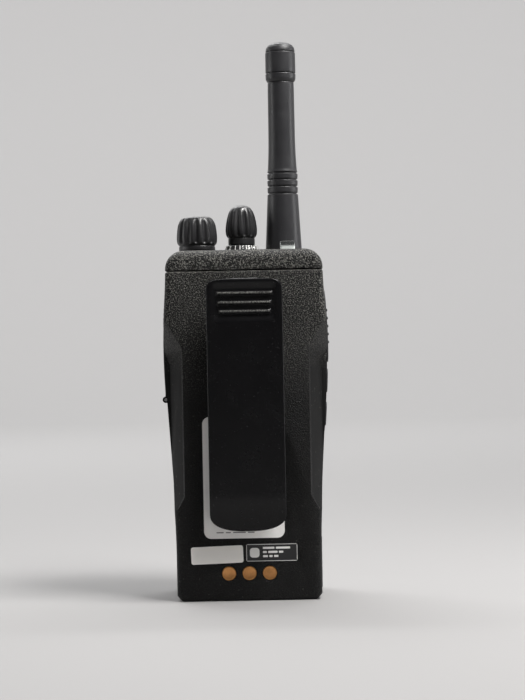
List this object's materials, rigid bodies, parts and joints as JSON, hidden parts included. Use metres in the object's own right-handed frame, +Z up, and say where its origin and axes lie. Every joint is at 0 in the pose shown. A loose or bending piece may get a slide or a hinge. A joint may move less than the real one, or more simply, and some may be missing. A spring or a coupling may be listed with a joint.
{
  "type": "two way radio",
  "caption": "Hand-held two way radio with slide-on battery, swinging belt clip, stub antenna, two top knobs, side keys and hinged socket cover.",
  "frame": {"origin": "centre of the base face that the radio stands on", "axes": "+Z up towards the antenna, +Y out of the battery's back, -Y out of the speaker, X across the width"},
  "size_m": [0.0627, 0.0501, 0.2064],
  "materials": {
    "housing_plastic": "black polycarbonate with a fine sand texture",
    "battery_plastic": "black polycarbonate with a fine sand texture",
    "clip_plastic": "glossy black acetal",
    "bracket_plastic": "smooth black acetal",
    "knob_plastic": "satin black plastic",
    "ring_plastic": "black plastic with printed white numbers",
    "key_rubber": "black silicone rubber",
    "cover_rubber": "black soft plastic",
    "antenna_rubber": "black moulded rubber",
    "seal_rubber": "grey silicone",
    "bezel_plastic": "satin black plastic",
    "latch_plastic": "satin black acetal",
    "lens_clear": "clear polycarbonate light pipe",
    "cast_chassis": "die-cast",
    "steel": "zinc plated",
    "spring_steel": "bright wire",
    "brass": "machined",
    "contact_copper": "bronze coloured plating",
    "gold_contact": "gold flash",
    "circuit_board": "green solder mask",
    "chip_black": "moulded epoxy",
    "speaker_cone": "treated cone",
    "speaker_cloth": "black acoustic cloth",
    "magnet": "plated magnet can",
    "cell_wrap": "blue sleeve",
    "rating_label": "silver grey label",
    "white_sticker": "plain white sticker",
    "approval_label": "black label with plain light bars",
    "nameplate": "blank satin plate"
  },
  "bodies": {
    "radio": {"front_housing": "housing_plastic", "nameplate": "nameplate", "led_lens": "lens_clear", "chassis": "cast_chassis", "chassis_screws": "steel", "chassis_seal": "seal_rubber", "main_board": "circuit_board", "shield_cans": "steel", "board_chips": "chip_black", "control_board": "circuit_board", "speaker_frame": "steel", "speaker_cone": "speaker_cone", "speaker_magnet": "magnet", "speaker_mesh": "speaker_cloth", "microphone": "steel", "microphone_boot": "seal_rubber", "volume_control": "steel", "channel_switch": "steel", "channel_ring": "ring_plastic", "control_nuts": "steel", "antenna_socket": "brass", "key_bezel": "bezel_plastic", "side_switches": "chip_black", "side_board": "circuit_board", "cover_pin": "steel", "jack_block": "chip_black", "contact_block": "chip_black", "radio_contacts": "gold_contact", "latch_spring": "spring_steel"},
    "volume": {"volume_shaft": "steel", "volume_knob": "knob_plastic"},
    "channel": {"channel_shaft": "steel", "channel_knob": "knob_plastic"},
    "antenna_screw": {"antenna_stud": "brass"},
    "antenna": {"antenna_sheath": "antenna_rubber", "antenna_cap": "antenna_rubber", "antenna_coil": "spring_steel"},
    "ptt": {"ptt_key": "key_rubber"},
    "upper_key": {"side_key_upper": "key_rubber"},
    "lower_key": {"side_key_lower": "key_rubber"},
    "cover": {"accessory_cover": "cover_rubber"},
    "latch": {"battery_latch": "latch_plastic"},
    "battery": {"battery_case": "battery_plastic", "battery_lid": "battery_plastic", "battery_terminals": "gold_contact", "battery_cells": "cell_wrap", "battery_board": "circuit_board", "charge_contacts": "contact_copper", "rating_label": "rating_label", "battery_sticker": "white_sticker", "approval_label": "approval_label"},
    "clip_mount": {"clip_bracket": "bracket_plastic", "clip_pin": "steel", "clip_spring": "spring_steel"},
    "clip": {"clip_lever": "clip_plastic"}
  },
  "joints": [
    {"name": "volume_turn", "type": "hinge", "parent": "radio", "child": "volume", "pos_m": [0.0176, -0.006, 0.13], "axis": [0, 0, -1], "range_deg": [0, 270]},
    {"name": "channel_turn", "type": "hinge", "parent": "radio", "child": "channel", "pos_m": [0.00085, -0.006, 0.13], "axis": [0, 0, -1], "range_deg": [0, 337.5]},
    {"name": "antenna_rise", "type": "slide", "parent": "radio", "child": "antenna_screw", "axis": [0, 0, 1], "range_m": [0, 0.005]},
    {"name": "antenna_turn", "type": "hinge", "parent": "antenna_screw", "child": "antenna", "pos_m": [-0.015, -0.006, 0.128], "axis": [0, 0, 1], "range_deg": [0, 1800]},
    {"name": "ptt_press", "type": "slide", "parent": "radio", "child": "ptt", "axis": [1, 0, 0], "range_m": [0, 0.001], "stiffness_N_per_m": 3000},
    {"name": "upper_key_press", "type": "slide", "parent": "radio", "child": "upper_key", "axis": [1, 0, 0], "range_m": [0, 0.0008], "stiffness_N_per_m": 2000},
    {"name": "lower_key_press", "type": "slide", "parent": "radio", "child": "lower_key", "axis": [1, 0, 0], "range_m": [0, 0.0008], "stiffness_N_per_m": 2000},
    {"name": "cover_open", "type": "hinge", "parent": "radio", "child": "cover", "pos_m": [0.0302, -0.009, 0.073], "axis": [0, 1, 0], "range_deg": [0, 110]},
    {"name": "battery_slide", "type": "slide", "parent": "radio", "child": "battery", "axis": [0, 0, -1], "range_m": [0, 0.012]},
    {"name": "latch_release", "type": "slide", "parent": "radio", "child": "latch", "axis": [0, -1, 0], "range_m": [0, 0.004], "deforming": ["latch_spring"]},
    {"name": "clip_slide", "type": "slide", "parent": "battery", "child": "clip_mount", "axis": [0, 0, 1], "range_m": [0, 0.018]},
    {"name": "clip_open", "type": "hinge", "parent": "clip_mount", "child": "clip", "pos_m": [0, 0.0234, 0.099], "axis": [1, 0, 0], "range_deg": [0, 16], "stiffness_Nm_per_rad": 1.2, "springref_deg": -17.19, "deforming": ["clip_spring"]}
  ],
  "couplings": [
    {"joint": "antenna_rise", "follows": "antenna_turn", "m_per_rad": 0.00015915},
    {"joint": "latch_release", "follows": "battery_slide", "ratio": 0.33333}
  ]
}
